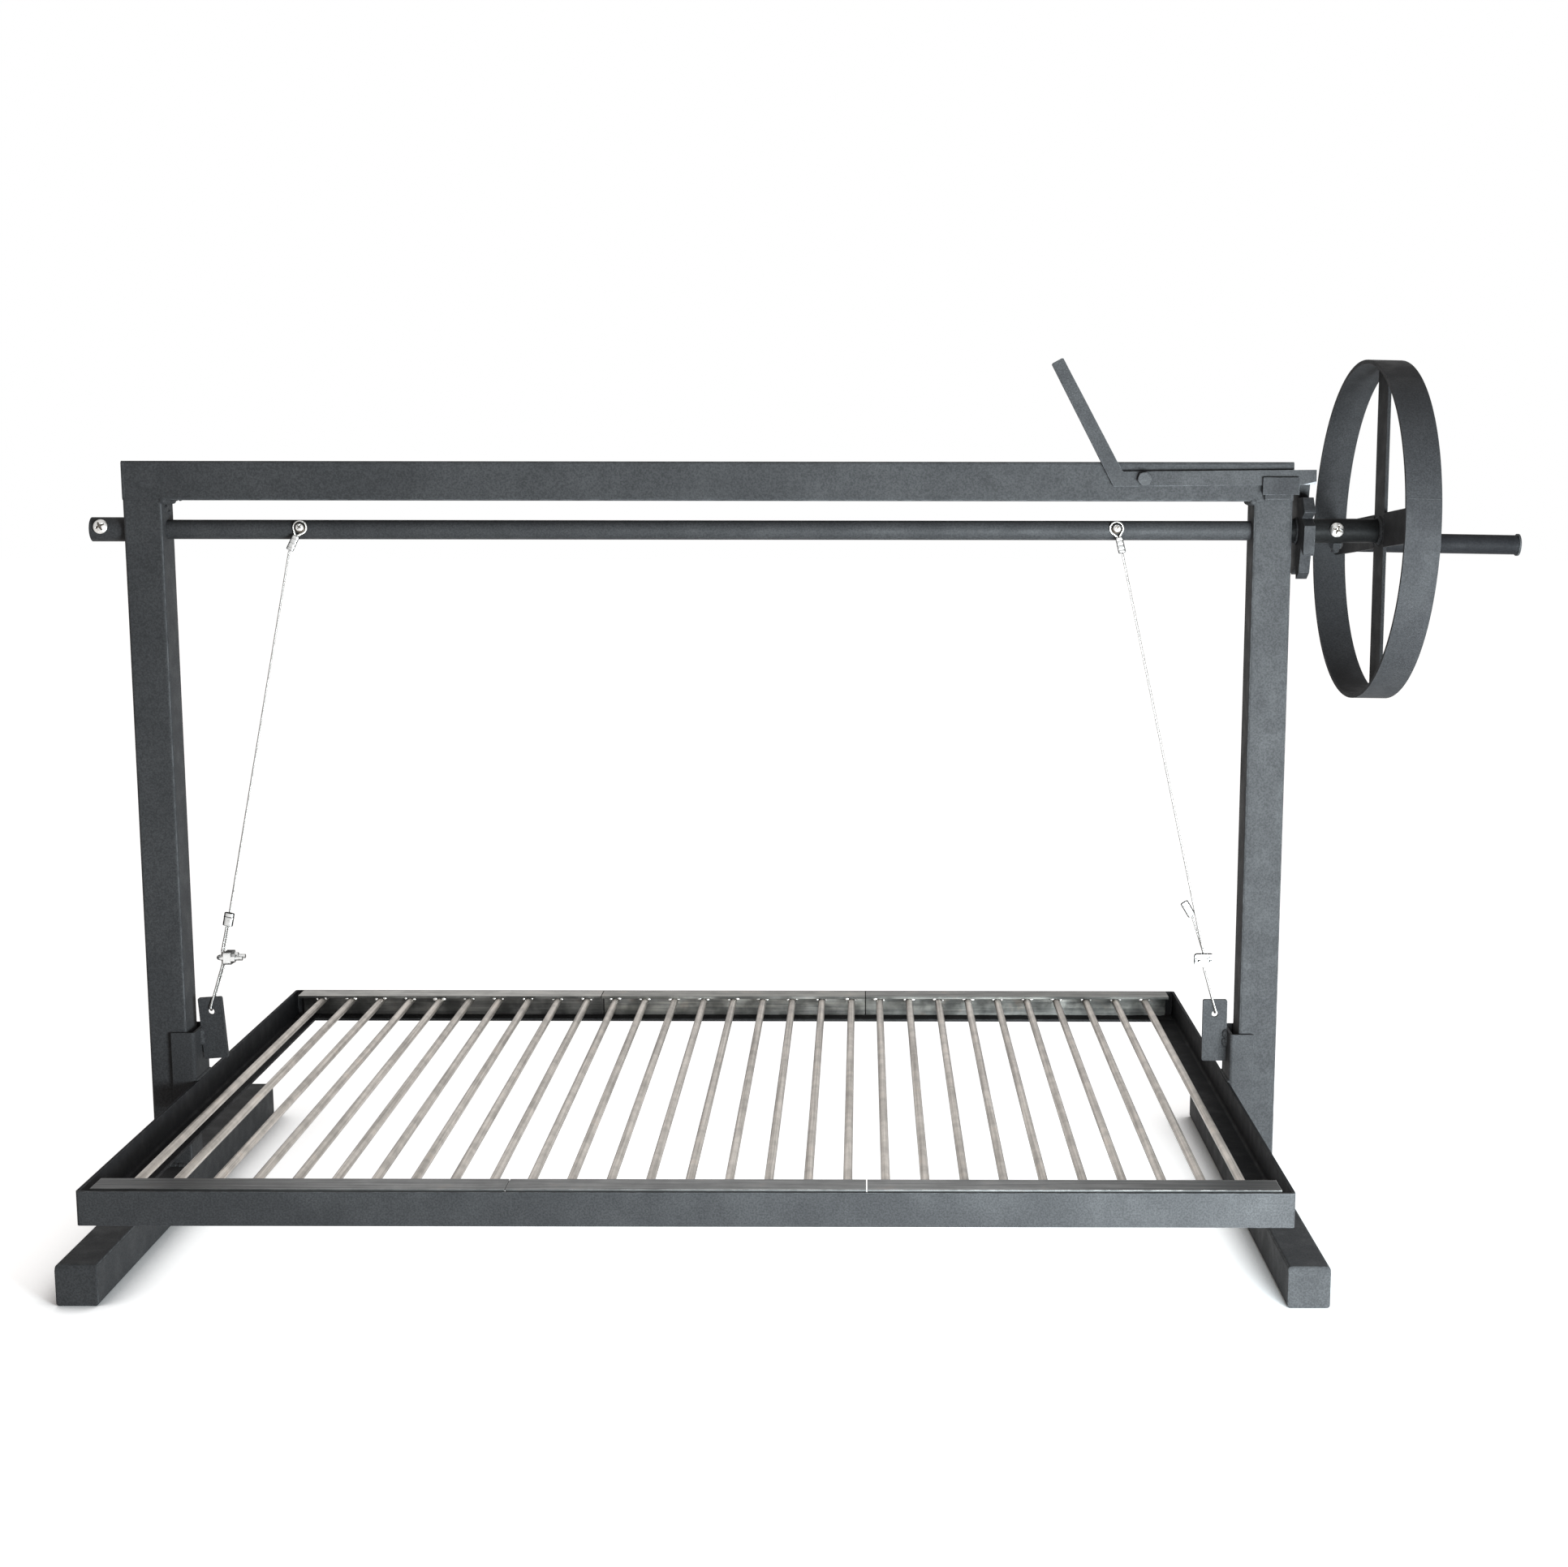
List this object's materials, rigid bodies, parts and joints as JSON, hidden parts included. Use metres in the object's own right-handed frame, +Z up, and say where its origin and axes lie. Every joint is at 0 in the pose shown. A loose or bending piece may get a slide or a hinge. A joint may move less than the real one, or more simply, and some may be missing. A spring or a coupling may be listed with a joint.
{
  "type": "asado grill",
  "caption": "Freestanding parrilla frame with a hand-wheel winch, ratchet and pawl; two wire ropes lift a tray of loose bar grates over an open fire.",
  "frame": {"origin": "middle of the bounding box, on the ground under the feet", "axes": "+X along the beam towards the hand wheel, +Y to the back, +Z up"},
  "size_m": [1.5222, 0.79, 0.8914],
  "materials": {
    "black_coat": "matte black high-heat coating with a faint orange peel",
    "dark_steel": "coated steel with bare edges",
    "bare_steel": "uncoated mild steel, mill finish",
    "zinc": "bright zinc plate",
    "ferrule": "pressed aluminium",
    "wire_rope": "galvanised stranded wire rope"
  },
  "bodies": {
    "frame": {"left_post": "black_coat", "right_post": "black_coat", "top_beam": "black_coat", "left_foot": "black_coat", "right_foot": "black_coat", "beam_end_caps": "black_coat", "foot_end_caps": "black_coat", "pawl_keeper": "black_coat", "keeper_spacer": "black_coat", "pawl_bolt": "zinc", "left_cable": "wire_rope", "right_cable": "wire_rope"},
    "winder": {"shaft": "black_coat", "left_collar": "black_coat", "collar_screw": "zinc", "ratchet_wheel": "black_coat", "hub_sleeve": "black_coat", "hub_screw": "zinc", "hub_lock_bolt": "dark_steel", "wheel_rim": "black_coat", "vertical_spoke": "black_coat", "front_spoke": "black_coat", "rear_spoke": "black_coat", "crank_pin": "dark_steel", "crank_washer": "dark_steel", "anchor_screws": "zinc", "anchor_eyes": "wire_rope", "anchor_ferrules": "ferrule"},
    "grip": {"crank_grip": "black_coat"},
    "pawl": {"pawl_lever": "black_coat"},
    "carriage": {"front_rail": "black_coat", "rear_rail": "black_coat", "left_rail": "black_coat", "right_rail": "black_coat", "left_guide": "black_coat", "right_guide": "black_coat", "left_hanger": "black_coat", "right_hanger": "black_coat", "left_clip": "zinc", "right_clip": "zinc", "left_rope_loop": "wire_rope", "right_rope_loop": "wire_rope", "left_crimp_sleeve": "ferrule", "right_tail_ferrule": "ferrule"},
    "left_grate": {"left_grate_front_rail": "bare_steel", "left_grate_rear_rail": "bare_steel", "left_grate_bars": "bare_steel"},
    "middle_grate": {"middle_grate_front_rail": "bare_steel", "middle_grate_rear_rail": "bare_steel", "middle_grate_bars": "bare_steel"},
    "right_grate": {"right_grate_front_rail": "bare_steel", "right_grate_rear_rail": "bare_steel", "right_grate_bars": "bare_steel"}
  },
  "joints": [
    {"name": "carriage_lift", "type": "slide", "parent": "frame", "child": "carriage", "axis": [0, 0, 1], "range_m": [0, 0.34558], "deforming": ["left_cable", "right_cable"]},
    {"name": "shaft_turn", "type": "hinge", "parent": "frame", "child": "winder", "pos_m": [0, 0, 0.718], "axis": [1, 0, 0], "range_deg": [0, 1800.5]},
    {"name": "grip_spin", "type": "hinge", "parent": "winder", "child": "grip", "pos_m": [0.66462, 0.14424, 0.70079], "axis": [0.9985, 0.0523, -0.0175], "continuous": true},
    {"name": "pawl_swing", "type": "hinge", "parent": "frame", "child": "pawl", "pos_m": [0.32339, -0.0205, 0.77096], "axis": [0, -1, 0], "range_deg": [-2.9, 35]},
    {"name": "left_grate_lift", "type": "slide", "parent": "carriage", "child": "left_grate", "axis": [0, 0, 1], "range_m": [0, 0.03]},
    {"name": "middle_grate_lift", "type": "slide", "parent": "carriage", "child": "middle_grate", "axis": [0, 0, 1], "range_m": [0, 0.03]},
    {"name": "right_grate_lift", "type": "slide", "parent": "carriage", "child": "right_grate", "axis": [0, 0, 1], "range_m": [0, 0.03]}
  ],
  "couplings": [
    {"joint": "shaft_turn", "follows": "carriage_lift", "rad_per_m": 90.909}
  ]
}
